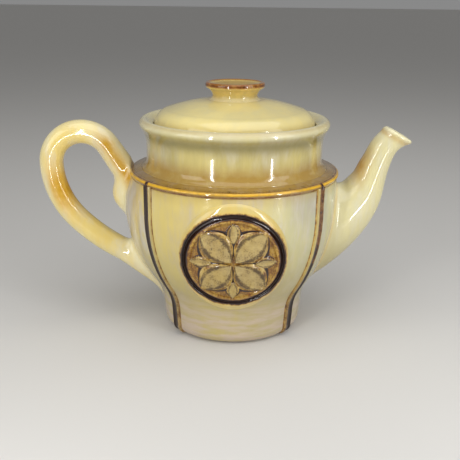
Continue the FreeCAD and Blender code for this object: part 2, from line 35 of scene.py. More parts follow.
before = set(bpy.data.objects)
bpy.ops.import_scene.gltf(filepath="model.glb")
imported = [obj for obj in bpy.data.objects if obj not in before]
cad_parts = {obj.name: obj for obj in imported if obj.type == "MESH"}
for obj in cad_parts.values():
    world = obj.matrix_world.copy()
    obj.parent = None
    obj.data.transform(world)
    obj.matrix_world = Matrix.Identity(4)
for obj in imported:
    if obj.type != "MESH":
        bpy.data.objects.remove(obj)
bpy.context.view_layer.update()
MM = 0.001
MASKS = ("dark", "gold_and_shade", "amber", "pale", "speckle")


def top_of(node):
    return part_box(node)[1].z / MM


def bottom_of(node):
    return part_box(node)[0].z / MM


def radius_of(node):
    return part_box(node)[1].y / MM


# Sizes that the pieces share

FOOT_RADIUS, FOOT_ROUNDING = 45.4, 7.5
WAIST_RADIUS, WAIST_HEIGHT, WAIST_CURVE = 46.2, 18.0, 31.0
FLANK_RADIUS, FLANK_HEIGHT = 51.2, 33.0
BELLY_RADIUS, BELLY_HEIGHT, BELLY_CURVE = 65.4, 84.0, 94.0
SHOULDER_RADIUS, SHOULDER_ROUNDING = radius_of("pot_shoulder"), 1.6
LEDGE_TOP, LEDGE_RISE = top_of("pot_shoulder"), 1.5
SHOULDER_HEIGHT = LEDGE_TOP - LEDGE_RISE
UNDER_EDGE = SHOULDER_HEIGHT - 2 * SHOULDER_ROUNDING
COLLAR_FOOT_RADIUS, NECK_RADIUS, THROAT_RADIUS = 57.6, 55.3, 50.5
WALL, FLOOR, FLOOR_FILLET = 4.6, 6.5, 7.0
CEILING = LEDGE_TOP - WALL
WALL_TOP = CEILING - 2 * WALL
RIM_TOP, RIM_RADIUS, RIM_ROLL = top_of("neck_collar"), radius_of("neck_collar"), 3.3
RIB_ANGLE = math.radians(51)
LID_SEAT, LID_RADIUS = bottom_of("lid_dome"), radius_of("lid_dome")
LID_TOP, KNOB_TOP, KNOB_RADIUS = top_of("lid_dome"), top_of("lid_knob"), radius_of("lid_knob")

# The clay of handle and spout ends this deep in the wall, and its skin meets the wall this far out
ROOT_SUNK, ROOT_SKIN = 4.0, 0.35


# Curves and fields

def smooth(low, high, value):
    """0 below low, 1 above high, and an easy curve between them."""
    share = np.clip((np.asarray(value, float) - low) / (high - low), 0, 1)
    return share * share * (3 - 2 * share)


def hump(middle, width, value):
    """1 at the middle, falling away on both sides over about a width."""
    return np.exp(-((np.asarray(value, float) - middle) / width) ** 2)


def strongest(*shares):
    return np.maximum.reduce(np.broadcast_arrays(*shares))


def join(a, b, blend):
    """The union of two fields, with clay pressed into the corner between them."""
    share = np.clip(0.5 + 0.5 * (b - a) / blend, 0, 1)
    return b + (a - b) * share - blend * share * (1 - share)


def meet(a, b, blend):
    """Where two fields overlap, with the edge between them rounded off."""
    return -join(-a, -b, blend)


class Outline:
    """A turned outline of lines and arcs, as close-set points of radius and height."""

    def __init__(self, radius, height, spacing=0.8):
        self.points = [(radius, height)]
        self.spacing = spacing

    def line(self, radius, height):
        start, end = np.array(self.points[-1]), np.array((radius, height))
        count = max(1, int(np.linalg.norm(end - start) / self.spacing))
        self.points += [tuple(start + (end - start) * i / count) for i in range(1, count + 1)]
        return self

    def arc(self, radius, height, curve, turn):
        """An arc to a point; turn is +1 counterclockwise or -1 clockwise."""
        start, end = np.array(self.points[-1]), np.array((radius, height))
        chord = end - start
        half = np.linalg.norm(chord) / 2
        side = np.array((-chord[1], chord[0])) / (2 * half) * turn
        centre = (start + end) / 2 + side * math.sqrt(max(curve * curve - half * half, 0))
        first = math.atan2(*(start - centre)[::-1])
        sweep = 2 * math.asin(min(1, half / curve)) * turn
        count = max(3, int(abs(sweep) * curve / self.spacing))
        for i in range(1, count + 1):
            angle = first + sweep * i / count
            self.points.append(
                (centre[0] + curve * math.cos(angle), centre[1] + curve * math.sin(angle)))
        return self


def belly_outline():
    """The outside of the belly from the base up to the shoulder's under edge."""
    outline = Outline(FOOT_RADIUS - FOOT_ROUNDING, 0)
    outline.arc(FOOT_RADIUS, FOOT_ROUNDING, FOOT_ROUNDING, 1)
    outline.line(WAIST_RADIUS, WAIST_HEIGHT)
    outline.arc(FLANK_RADIUS, FLANK_HEIGHT, WAIST_CURVE, -1)
    outline.arc(BELLY_RADIUS, BELLY_HEIGHT, BELLY_CURVE, 1)
    return outline.line(BELLY_RADIUS, UNDER_EDGE)


BELLY_CURVE_POINTS = np.array(belly_outline().points)


def belly_radius(height):
    return np.interp(height, BELLY_CURVE_POINTS[:, 1], BELLY_CURVE_POINTS[:, 0])


# The clay swells towards the handle, from above the foot to under the shoulder
SWELL, SWELL_SPREAD = 5.0, 0.36
SWELL_RISE, SWELL_FALL = (10, 50), (86, 102)

# The wall slopes, so a level distance off it is a little longer than a square one
WALL_SLANT = 0.92


def swell(x, y, height):
    away = np.arctan2(y, -x) / SWELL_SPREAD
    return SWELL * np.exp(-away * away) * smooth(*SWELL_RISE, height) * (1 - smooth(*SWELL_FALL, height))


def off_wall(p):
    """How far out from the belly's wall a point is, measured level; negative inside it."""
    x, y, z = p.T
    return np.hypot(x, y) - belly_radius(z) - swell(x, y, z)


def belly_field(p):
    """About how far a point is outside the belly; negative inside it."""
    return np.maximum(WALL_SLANT * off_wall(p), p[:, 2] - SHOULDER_HEIGHT)


# Mesh making

BORE_SIDES = 48
SAME_PLACE = 1e-6
PROBE, LEAST_SLOPE, LONGEST_SHIFT = 0.05, 0.2, 0.6
RELAXING = (0.6, 0.6, 0.5, 0.4, 0.2, 0.0)


def new_piece(name, points, faces, masks, body, nodes, finish):
    """A smooth piece with its glaze masks, riding on a body in place of CAD nodes."""
    mesh = bpy.data.meshes.new(name)
    mesh.from_pydata((np.asarray(points) * MM).tolist(), [], faces)
    for mask in MASKS:
        layer = mesh.attributes.new(mask, "FLOAT", "POINT")
        values = np.broadcast_to(np.asarray(masks.get(mask, 0.0), float), len(points))
        layer.data.foreach_set("value", np.clip(values, 0, 1).astype(np.float32))
    mesh.shade_smooth()
    mesh.materials.append(finish)
    piece = bpy.data.objects.new(name, mesh)
    bpy.context.scene.collection.objects.link(piece)
    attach(piece, body)
    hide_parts(*nodes)
    return piece


def grid_faces(rows, columns, ends):
    """Quads over closed rows of points; ends joins the last row to the first."""
    faces = []
    for i in range(rows if ends else rows - 1):
        for j in range(columns):
            k, m = (i + 1) % rows, (j + 1) % columns
            faces.append((i * columns + j, i * columns + m, k * columns + m, k * columns + j))
    return faces


def turned(name, outline, segments, shade, body, nodes, finish, bulge=None):
    """A lathe piece from a closed outline; shade gives its masks from x, y, radius and height."""
    rim = np.array(outline.points)
    if np.allclose(rim[0], rim[-1]):
        rim = rim[:-1]
    angle = np.linspace(0, 2 * math.pi, segments, endpoint=False)
    radius, height = np.repeat(rim[:, 0], segments), np.repeat(rim[:, 1], segments)
    x, y = radius * np.tile(np.cos(angle), len(rim)), radius * np.tile(np.sin(angle), len(rim))
    if bulge is not None:
        grow = 1 + bulge(x, y, radius, height) / np.maximum(radius, 1)
        x, y = x * grow, y * grow
    on_axis = rim[0, 0] == 0
    faces = grid_faces(len(rim), segments, not on_axis)
    points, masks = np.stack((x, y, height), 1), shade(x, y, radius, height)
    piece = new_piece(name, points, faces, masks, body, nodes, finish)
    if on_axis:
        merge_by_distance(piece)
    return piece


def merge_by_distance(piece):
    work = bmesh.new()
    work.from_mesh(piece.data)
    bmesh.ops.remove_doubles(work, verts=work.verts, dist=SAME_PLACE)
    bmesh.ops.recalc_face_normals(work, faces=work.faces)
    work.to_mesh(piece.data)
    work.free()


def bore(piece, start, end, radius):
    """Drill a round hole through a piece."""
    start, end = Vector(start) * MM, Vector(end) * MM
    bpy.ops.mesh.primitive_cylinder_add(
        vertices=BORE_SIDES, radius=radius * MM, depth=(end - start).length, location=(start + end) / 2)
    drill = bpy.context.object
    drill.rotation_mode = "QUATERNION"
    drill.rotation_quaternion = (end - start).to_track_quat("Z", "Y")
    cut = piece.modifiers.new("bore", "BOOLEAN")
    cut.operation, cut.solver, cut.object = "DIFFERENCE", "EXACT", drill
    bpy.context.view_layer.update()
    bored = piece.evaluated_get(bpy.context.evaluated_depsgraph_get())
    mesh = bpy.data.meshes.new_from_object(bored)
    piece.modifiers.clear()
    piece.data = mesh
    bpy.data.objects.remove(drill)


def slope(field, p):
    """The field's gradient at points."""
    steps = PROBE * np.eye(3)
    return np.stack([(field(p + step) - field(p - step)) / (2 * PROBE) for step in steps], 1)


def clay_mesh(field, low, high, step):
    """Points and quads of the closed form where a field is negative.

    Quads are laid where a grid passes from inside to outside, then evened out and drawn onto the form.
    """
    axes = [np.arange(a - 2 * step, b + 3 * step, step) for a, b in zip(low, high)]
    grid = np.stack(np.meshgrid(*axes, indexing="ij"), -1)
    inside = field(grid.reshape(-1, 3)).reshape(grid.shape[:3]) < 0
    near, far = slice(None, -1), slice(1, None)
    corners = [
        inside[a, b, c].astype(int) for a in (near, far) for b in (near, far) for c in (near, far)]
    count = sum(corners)
    active = (count > 0) & (count < len(corners))
    number = np.full(active.shape, -1)
    number[active] = np.arange(active.sum())
    points = (grid[:-1, :-1, :-1] + step / 2)[active]
    quads = []
    for axis in range(3):
        u, v = [other for other in range(3) if other != axis]
        window = [slice(1, -1)] * 3
        window[axis] = near
        first = inside[tuple(window)]
        window[axis] = far
        crossing = first != inside[tuple(window)]
        where = np.argwhere(crossing)
        outward = first[crossing] ^ (axis == 1)
        where[:, u] += 1
        where[:, v] += 1
        ring = []
        for du, dv in ((-1, -1), (0, -1), (0, 0), (-1, 0)):
            cell = where.copy()
            cell[:, u] += du
            cell[:, v] += dv
            ring.append(number[tuple(cell.T)])
        ring = np.stack(ring, 1)
        quads.append(np.where(outward[:, None], ring, ring[:, ::-1]))
    quads = np.concatenate(quads)
    edges = np.concatenate([quads[:, [i, (i + 1) % 4]] for i in range(4)])
    for relax in RELAXING:
        total, ties = np.zeros_like(points), np.zeros(len(points))
        np.add.at(total, edges[:, 0], points[edges[:, 1]])
        np.add.at(ties, edges[:, 0], 1)
        points = points + relax * (total / ties[:, None] - points)
        for _ in range(2):
            gradient = slope(field, points)
            steepness = np.maximum((gradient ** 2).sum(1), LEAST_SLOPE)[:, None]
            shift = field(points)[:, None] * gradient / steepness
            length = np.linalg.norm(shift, axis=1)[:, None]
            points = points - shift * np.minimum(1, LONGEST_SHIFT * step / np.maximum(length, 1e-9))
    return points, quads.tolist()


# Glaze shaders

class Socket:
    """A shader value that can be used in sums."""

    def __init__(self, tree, socket):
        self.tree = tree
        self.socket = socket

    def node(self, kind, settings=None, output=0, **inputs):
        """Add a node of a kind, set it up, then fill its sockets with values or links.

        An input is called by its name, or as i0, i1 and so on by its number.
        """
        made = self.tree.nodes.new("ShaderNode" + kind)
        for key, value in (settings or {}).items():
            setattr(made, key, value)
        for key, value in inputs.items():
            numbered = key[0] == "i" and key[1:].isdigit()
            socket = made.inputs[int(key[1:]) if numbered else key]
            if isinstance(value, Socket):
                self.tree.links.new(value.socket, socket)
            else:
                socket.default_value = value
        return Socket(self.tree, made.outputs[output])

    def math(self, operation, a, b=0.0, clamp=False):
        return self.node("Math", {"operation": operation, "use_clamp": clamp}, i0=a, i1=b)

    def __add__(self, other):
        return self.math("ADD", self, other)

    def __radd__(self, other):
        return self.math("ADD", other, self)

    def __sub__(self, other):
        return self.math("SUBTRACT", self, other)

    def __rsub__(self, other):
        return self.math("SUBTRACT", other, self)

    def __mul__(self, other):
        return self.math("MULTIPLY", self, other)

    def __rmul__(self, other):
        return self.math("MULTIPLY", other, self)

    def clamped(self):
        return self.math("ADD", self, 0.0, clamp=True)

    def between(self, low, high):
        """0 at low and 1 at high, eased."""
        settings = {"interpolation_type": "SMOOTHSTEP"}
        return self.node("MapRange", settings, Value=self, **{"From Min": low, "From Max": high})

    def stretched(self, x, y, z):
        return self.node("VectorMath", {"operation": "MULTIPLY"}, i0=self, i1=(x, y, z))

    def noise(self, scale, detail=2.0, roughness=0.5):
        values = {"Vector": self, "Scale": scale, "Detail": detail, "Roughness": roughness}
        return self.node("TexNoise", None, "Fac", **values)

    def mix(self, first, second, share):
        """One colour turning to another by a share; each is a colour or a link."""
        settings = {"data_type": "RGBA", "clamp_factor": True}
        return self.node("Mix", settings, 2, i0=share, i6=first, i7=second)


def colour(red, green, blue):
    """A display colour of 0 to 255 as the linear one that shaders take."""
    shares = [value / 255 for value in (red, green, blue)]
    return tuple(s / 12.92 if s < 0.04 else ((s + 0.055) / 1.055) ** 2.4 for s in shares) + (1.0,)


CREAM = colour(222, 204, 132)
PALE = colour(204, 197, 158)
STRAW = colour(206, 186, 108)
IVORY = colour(235, 228, 188)
BUTTER = colour(238, 221, 150)
WHEAT = colour(211, 195, 122)
FROST = colour(214, 210, 196)
YELLOW = colour(224, 196, 108)
SAGE_AND_SHEEN = colour(180, 181, 150)
LILAC = colour(172, 158, 148)
ROSE = colour(186, 168, 148)
AMBER = colour(178, 132, 38)
HONEY = colour(198, 150, 36)
CARAMEL = colour(166, 134, 64)
OCHRE = colour(148, 116, 48)
OLIVE = colour(166, 152, 94)
RIM_SHADOW_OLIVE = colour(126, 116, 66)
# A dark olive painted on the neck as shadow under the rim
UMBER = colour(132, 100, 44)
GOLD = colour(220, 170, 36)
TAN = colour(184, 148, 78)
SIENNA = colour(146, 90, 26)
RUST = colour(112, 62, 18)
DARK = colour(36, 15, 5)
SLATE = colour(58, 44, 26)

# Where glazes change: across the pot, with the spout on the plus side, and up it. The sage towards the
# spout is partly the glaze's tone and partly a painted grey sheen; the olive low down is painted shade.
SPOUT_SIDE, COOL_SIDE = (-0.01, 0.05), (-0.04, 0.03)
HANDLE_SIDE, FLANK_SIDE = (0.0, -0.025), (-0.042, -0.054)
FLANK_DROP, OLIVE_SHADE_DROP, ROSE_DROP = (0.100, 0.070), (0.082, 0.030), (0.040, 0.014)

GLAZE_IOR, COAT_WEIGHT, COAT_ROUGHNESS = 1.52, 0.35, 0.04
GLOSS, GLOSS_SPREAD = 0.05, 0.1
WAVE_STRENGTH, WAVE_DEPTH = 0.12, 0.0012


def glaze(
        name, ground, streak, veil, amber=AMBER, gold_and_shade=GOLD, veil_share=0.5, runs=0.5, broken=1.1,
        frost=0.0, far_side=0.0, foot=0.0):
    """A glossy run glaze: two tones in upright streaks under a pale veil, with masked breaks and pools,
    and masks of painted highlight and painted shade.

    veil_share is how much of the veil shows, and runs how much the streaks follow the upright runs.
    broken is how unevenly the gilt lies, and frost how strong its milky strokes are. far_side is how
    much its tone changes from the handle's side to the spout's, where its sage is partly a painted grey
    sheen, and foot how much it turns olive low down, which is painted shade, and rosy lower still.
    """
    finish = bpy.data.materials.new(name)
    finish.use_nodes = True
    tree = finish.node_tree
    shader = tree.nodes["Principled BSDF"]
    start = Socket(tree, None)
    place = start.node("TexCoord", None, "Object")
    across = place.node("SeparateXYZ", None, "X", Vector=place)
    height = place.node("SeparateXYZ", None, "Z", Vector=place)
    mask = {m: start.node("Attribute", {"attribute_name": m}, "Fac") for m in MASKS}

    # Broad clouds, upright runs and strokes, level layers, and fine unevenness
    drift = place.noise(24.0, 3.0)
    run = place.stretched(1.0, 1.0, 0.14).noise(110.0, 4.0, 0.62)
    fine = place.stretched(1.0, 1.0, 0.25).noise(420.0, 2.0, 0.6)
    strokes = place.stretched(1.0, 1.0, 0.2).noise(150.0, 4.0, 0.62)
    layers = place.stretched(0.18, 0.18, 1.0).noise(260.0, 3.0, 0.6)
    break_up = place.noise(210.0, 3.0, 0.6)
    grain = place.noise(1300.0, 3.0, 0.7)
    wave = place.noise(34.0, 2.0) + fine * 0.1

    # The ground's tones over the whole piece
    streaks = (run * runs + drift * 0.8).between(0.2 + runs / 3, 0.65 + runs / 2)
    flank = across.between(*FLANK_SIDE) * (height.between(*FLANK_DROP) * 0.75 + 0.25) * far_side
    veiled = (drift * 0.7 + strokes * 0.5 + fine * 0.15).between(0.58, 0.84) * veil_share
    cool = across.between(*COOL_SIDE) * 0.7 + 0.3
    body = start.mix(ground, streak, streaks)
    # Towards the spout the sage is partly the glaze's tone and partly a painted grey sheen.
    body = start.mix(body, SAGE_AND_SHEEN, across.between(*SPOUT_SIDE) * (drift * 0.8 + run * 0.9) * far_side)
    body = start.mix(body, STRAW, across.between(*HANDLE_SIDE) * (drift + 0.2) * far_side)
    body = start.mix(body, FROST, flank * strokes.between(0.35, 0.6) * 0.8)
    body = start.mix(body, LILAC, flank * run.between(0.45, 0.65) * 0.7)
    body = start.mix(body, veil, veiled)
    body = start.mix(body, FROST, strokes.between(0.44, 0.68) * (drift + 0.1) * cool * frost)
    # The olive low down is painted shade.
    body = start.mix(body, OLIVE, height.between(*OLIVE_SHADE_DROP) * 0.75 * foot)
    body = start.mix(body, ROSE, height.between(*ROSE_DROP) * layers.between(0.3, 0.65) * foot)

    # Breaks and pools where the piece's masks put them. Some masks carry painted light too: the gold one
    # is painted shadow under the rim on the neck, the pale one painted highlight on the rim's top, the
    # spout's lip and the ribs' crests, and the amber and dark ones partly painted shade under the
    # shoulder.
    pool_and_shade = (mask["amber"] + ((run - 0.5) * 0.5 + (break_up - 0.5) * 0.9) * mask["amber"]).clamped()
    gilt = (mask["gold_and_shade"] + (break_up - 0.5) * broken * mask["gold_and_shade"]).clamped()
    spots = (mask["speckle"] * 0.8 + (grain - 0.5) * 1.3 + (break_up - 0.5) * 0.8).between(0.3, 0.75)
    uneven = (grain - 0.5) * 0.7 + (break_up - 0.5) * 0.9
    depth = mask["dark"] * 1.3 + uneven * mask["dark"].between(0.0, 0.25)
    body = start.mix(body, IVORY, mask["pale"] * (run * 0.5 + 0.65))
    body = start.mix(body, amber, pool_and_shade)
    body = start.mix(body, gold_and_shade, gilt)
    body = start.mix(body, SLATE, spots * mask["speckle"].between(0.0, 0.3) * 0.85)
    body = start.mix(body, RUST, depth.between(0.15, 0.5) * 0.85)
    body = start.mix(body, DARK, depth.between(0.42, 0.72))

    bump = start.node("Bump", None, Strength=WAVE_STRENGTH, Distance=WAVE_DEPTH, Height=wave)
    gloss = break_up * GLOSS_SPREAD + GLOSS
    for key, value in (("Base Color", body), ("Roughness", gloss), ("Normal", bump)):
        tree.links.new(value.socket, shader.inputs[key])
    shader.inputs["IOR"].default_value = GLAZE_IOR
    shader.inputs["Coat Weight"].default_value = COAT_WEIGHT
    shader.inputs["Coat Roughness"].default_value = COAT_ROUGHNESS
    return finish


BELLY_GLAZE = glaze(
    "belly_glaze", CREAM, STRAW, LILAC, amber=CARAMEL, veil_share=0.6, broken=1.8, frost=0.55,
    far_side=1.0, foot=1.0)
SHOULDER_GLAZE = glaze(
    "shoulder_glaze", CARAMEL, OCHRE, LILAC, amber=UMBER, veil_share=0.25, broken=2.6, frost=0.15)
# The neck's gold mask is a dark olive here: painted shadow and reflection under the rim.
NECK_GLAZE = glaze(
    "neck_glaze", WHEAT, OLIVE, FROST, amber=CARAMEL, gold_and_shade=RIM_SHADOW_OLIVE, runs=0.6, veil_share=0.35, broken=0.3,
    frost=0.2)
LID_GLAZE = glaze("lid_glaze", BUTTER, CREAM, PALE, amber=CARAMEL, runs=0.1, veil_share=0.3)
KNOB_GLAZE = glaze("knob_glaze", TAN, YELLOW, OLIVE, amber=CARAMEL, gold_and_shade=SIENNA, runs=0.2)
HANDLE_GLAZE = glaze(
    "handle_glaze", YELLOW, BUTTER, FROST, amber=HONEY, runs=0.3, veil_share=0.45, frost=0.9)
SPOUT_GLAZE = glaze(
    "spout_glaze", IVORY, BUTTER, PALE, runs=0.4, veil_share=0.4, frost=0.5, far_side=0.4, foot=1.3)
RIB_GLAZE = glaze("rib_glaze", WHEAT, OLIVE, LILAC, amber=UMBER, foot=0.5)
RELIEF_GLAZE = glaze("relief_glaze", CREAM, YELLOW, PALE, amber=UMBER)


# Pot shell and shoulder

SHELL_SEGMENTS, SHOULDER_SEGMENTS, SHOULDER_SPACING = 240, 288, 0.35
STRAINER_HEIGHT, STRAINER_RADIUS, STRAINER_CLEARANCE = 66.0, 12.5, 6


def pot_outline():
    """The belly with its floor, up to a joint that slopes through the wall under the shoulder's edge."""
    outline = belly_outline()
    outline.points = [(0.0, 0.0)] + outline.points
    outline.line(BELLY_RADIUS - WALL, WALL_TOP)
    outline.line(BELLY_RADIUS - WALL, BELLY_HEIGHT)
    outline.arc(FLANK_RADIUS - WALL, FLANK_HEIGHT + WALL / 2, BELLY_CURVE - WALL, -1)
    outline.line(WAIST_RADIUS - WALL, WAIST_HEIGHT + WALL / 2)
    outline.line(FOOT_RADIUS - WALL, FLOOR + FLOOR_FILLET)
    outline.arc(FOOT_RADIUS - WALL - FLOOR_FILLET, FLOOR, FLOOR_FILLET, -1)
    return outline.line(0.0, FLOOR)


def shoulder_outline():
    outline = Outline(BELLY_RADIUS - WALL, WALL_TOP, spacing=SHOULDER_SPACING)
    outline.line(BELLY_RADIUS, UNDER_EDGE)
    outline.line(SHOULDER_RADIUS, SHOULDER_HEIGHT - SHOULDER_ROUNDING)
    outline.arc(SHOULDER_RADIUS - SHOULDER_ROUNDING, SHOULDER_HEIGHT, SHOULDER_ROUNDING, 1)
    outline.line(COLLAR_FOOT_RADIUS, LEDGE_TOP)
    outline.line(THROAT_RADIUS, LEDGE_TOP)
    outline.line(THROAT_RADIUS, CEILING)
    outline.line(BELLY_RADIUS - 2 * WALL, CEILING - WALL)
    return outline.line(BELLY_RADIUS - WALL, WALL_TOP)


def outside_of_belly(radius, height):
    return radius > belly_radius(height) - 1


def shade_pot(x, y, radius, height):
    outside = outside_of_belly(radius, height)
    # Under the shoulder's overhanging edge the amber is partly a rust line, partly painted shade.
    rust_and_shade_below_edge = smooth(UNDER_EDGE - 2.0, UNDER_EDGE, height) * outside
    blush = smooth(UNDER_EDGE - 8.0, UNDER_EDGE - 1.0, height) * outside
    foot = (1 - smooth(0.5, 5, height)) * outside
    return {
        "amber": strongest(foot * 0.3, rust_and_shade_below_edge * 0.7, blush * 0.3),
        "speckle": rust_and_shade_below_edge * 0.3,
    }


def shade_shoulder(x, y, radius, height):
    rim = smooth(SHOULDER_RADIUS - 2.4, SHOULDER_RADIUS - 1.0, radius)
    edge = hump(SHOULDER_HEIGHT - 0.75, 0.65, height) * rim
    on_top = smooth(SHOULDER_HEIGHT - 0.1, SHOULDER_HEIGHT + 0.1, height)
    gutter = hump(SHOULDER_RADIUS - 3.2, 1.5, radius) * on_top
    upper_line = hump(SHOULDER_RADIUS - 1.9, 0.5, radius)
    # The line under the edge is partly a rust line in the glaze and partly painted shade under the
    # overhang.
    rust_and_shade_under_edge = hump(UNDER_EDGE + 0.5, 1.0, height) * rim
    off_sides = np.abs(np.abs(np.arctan2(x, -y)) - math.pi / 2)
    notch = hump(math.pi / 2 - RIB_ANGLE, 1.3 / SHOULDER_RADIUS, off_sides) * rim
    return {
        "gold_and_shade": edge * (1 - notch),
        "amber": strongest(rust_and_shade_under_edge * 0.8, gutter * 0.4, rim * 0.6),
        "dark": strongest(notch * 0.6, rust_and_shade_under_edge * 0.3, upper_line * 0.4),
        "speckle": strongest(gutter * 0.45, rust_and_shade_under_edge * 0.3),
    }


def belly_swell(x, y, radius, height):
    return swell(x, y, height) * outside_of_belly(radius, height)


pot = turned(
    "belly_glazed", pot_outline(), SHELL_SEGMENTS, shade_pot, "pot", ("pot_base", "pot_body"),
    BELLY_GLAZE, bulge=belly_swell)
turned(
    "shoulder_glazed", shoulder_outline(), SHOULDER_SEGMENTS, shade_shoulder, "pot", ("pot_shoulder",),
    SHOULDER_GLAZE)
bore(
    pot, (BELLY_RADIUS / 2, 0, STRAINER_HEIGHT), (BELLY_RADIUS + STRAINER_CLEARANCE, 0, STRAINER_HEIGHT),
    STRAINER_RADIUS)


# Neck and rim

COLLAR_SEGMENTS, COLLAR_SUNK = 256, 0.3
FILLET_WIDTH, FILLET_HEIGHT, FILLET_CURVE = 1.2, 5.0, 6.4
SEAT_HEIGHT, SEAT_WIDTH, SEAT_THICKNESS = RIM_TOP - 6.2, 4.6, 4.0
FLARE_HEIGHT, RIM_TUCK, RIM_SLOPE = LEDGE_TOP + 14.0, math.radians(30), 2.6
RIM_INSIDE_CURVE, SHELF_ROUNDING, SHELF_DROP, SHELF_WIDTH = 9.0, 2.0, 1.6, 1.2
SHELF_RADIUS = LID_RADIUS + 0.3


def collar_outline():
    foot = LEDGE_TOP - COLLAR_SUNK
    crest = RIM_RADIUS - RIM_ROLL
    lip = (crest + RIM_ROLL * math.cos(RIM_TUCK), RIM_TOP - RIM_ROLL * (1 + math.sin(RIM_TUCK)))
    out, up = lip[0] - NECK_RADIUS, lip[1] - FLARE_HEIGHT
    outline = Outline(THROAT_RADIUS, foot)
    outline.line(COLLAR_FOOT_RADIUS + FILLET_WIDTH, foot)
    outline.arc(NECK_RADIUS, LEDGE_TOP + FILLET_HEIGHT, FILLET_CURVE, -1)
    outline.line(NECK_RADIUS, FLARE_HEIGHT)
    outline.arc(*lip, (out * out + up * up) / (2 * out), -1)
    outline.arc(crest, RIM_TOP, RIM_ROLL, 1)
    outline.arc(SHELF_RADIUS + SHELF_WIDTH, RIM_TOP - RIM_SLOPE, RIM_INSIDE_CURVE, 1)
    outline.arc(SHELF_RADIUS, RIM_TOP - RIM_SLOPE - SHELF_DROP, SHELF_ROUNDING, 1)
    outline.line(SHELF_RADIUS, SEAT_HEIGHT)
    outline.line(SHELF_RADIUS - SEAT_WIDTH, SEAT_HEIGHT)
    outline.line(SHELF_RADIUS - SEAT_WIDTH, SEAT_HEIGHT - SEAT_THICKNESS)
    outline.line(THROAT_RADIUS, SEAT_HEIGHT - SEAT_THICKNESS - SEAT_WIDTH)
    return outline.line(THROAT_RADIUS, foot)


def shade_collar(x, y, radius, height):
    outside = radius > NECK_RADIUS - 1
    low = (1 - smooth(LEDGE_TOP + 3, LEDGE_TOP + 14, height)) * outside
    crest = hump(RIM_RADIUS - 1.2, 1.0, radius) * smooth(RIM_TOP - 3.5, RIM_TOP - 1.5, height)
    return {
        "amber": strongest(low * 0.95, crest * 0.4),
        # The band just under the rim is painted shadow and painted reflection of dark surroundings under
        # the lip.
        "gold_and_shade": hump(RIM_TOP - 8.5, 4.2, height) * outside * 0.85,
        # The pale on the rim's rolled top is painted highlight.
        "pale": smooth(RIM_TOP - 5, RIM_TOP - 2.5, height) * 0.7,
    }


turned(
    "neck_collar_glazed", collar_outline(), COLLAR_SEGMENTS, shade_collar, "pot", ("neck_collar",),
    NECK_GLAZE)


# Lid

LID_SEGMENTS, LID_THICKNESS = 224, 4.2
LID_CROWN_RADIUS, LID_CROWN_HEIGHT, LID_CROWN_CURVE = LID_RADIUS - 8.2, LID_SEAT + 11.3, 125.0
LID_EDGE_HEIGHT, LID_EDGE_ROUNDING, LID_SIDE_CURVE = 2.2, 0.6, 10.5
FLANGE_RADIUS, FLANGE_WALL = radius_of("lid_flange"), 3.6
VENT_OFFSET, VENT_RADIUS, VENT_CLEARANCE = 27.0, 2.0, 2
KNOB_SEGMENTS, KNOB_SUNK = 160, 0.2
KNOB_FOOT_RADIUS, KNOB_FOOT_SPREAD, KNOB_FOOT_CURVE = 17.4, 0.6, 3.7
KNOB_WAIST_RADIUS, KNOB_WAIST_HEIGHT, KNOB_WAIST_CURVE = 13.9, LID_TOP + 2.6, 6.5
BAND_FOOT, BAND_TUCK, BAND_CURVE = KNOB_TOP - 3.0, 0.7, 1.4
BAND_ROUNDING, BAND_INSIDE_CURVE, DISH_DEPTH, DISH_CURVE = 1.3, 2.2, 3.2, 40.0


def lid_outline():
    outline = Outline(0.0, LID_TOP - LID_THICKNESS)
    outline.line(KNOB_FOOT_RADIUS, LID_TOP - LID_THICKNESS)
    outline.arc(
        LID_CROWN_RADIUS - LID_THICKNESS, LID_CROWN_HEIGHT - LID_THICKNESS, LID_CROWN_CURVE, -1)
    outline.line(FLANGE_RADIUS - FLANGE_WALL, LID_SEAT)
    outline.line(LID_RADIUS - LID_EDGE_ROUNDING, LID_SEAT)
    outline.arc(LID_RADIUS, LID_SEAT + LID_EDGE_ROUNDING, LID_EDGE_ROUNDING, 1)
    outline.line(LID_RADIUS, LID_SEAT + LID_EDGE_HEIGHT)
    outline.arc(LID_CROWN_RADIUS, LID_CROWN_HEIGHT, LID_SIDE_CURVE, 1)
    outline.arc(KNOB_FOOT_RADIUS, LID_TOP, LID_CROWN_CURVE, 1)
    return outline.line(0.0, LID_TOP)


def shade_lid(x, y, radius, height):
    return {"amber": hump(KNOB_FOOT_RADIUS, 2.0, radius) * 0.1 + hump(LID_RADIUS, 1.5, radius) * 0.3}


def knob_outline():
    outline = Outline(0.0, LID_TOP - KNOB_SUNK)
    outline.line(KNOB_FOOT_RADIUS + KNOB_FOOT_SPREAD, LID_TOP - KNOB_SUNK)
    outline.arc(KNOB_WAIST_RADIUS, KNOB_WAIST_HEIGHT, KNOB_FOOT_CURVE, -1)
    outline.arc(KNOB_RADIUS - BAND_TUCK, BAND_FOOT - 0.5, KNOB_WAIST_CURVE, -1)
    outline.arc(KNOB_RADIUS, BAND_FOOT + BAND_TUCK, BAND_CURVE, 1)
    outline.line(KNOB_RADIUS, KNOB_TOP - BAND_ROUNDING)
    outline.arc(KNOB_RADIUS - BAND_ROUNDING, KNOB_TOP, BAND_ROUNDING, 1)
    outline.arc(KNOB_RADIUS - 2 * BAND_ROUNDING, KNOB_TOP - 0.5, BAND_INSIDE_CURVE, 1)
    return outline.arc(0.0, KNOB_TOP - DISH_DEPTH, DISH_CURVE, -1)


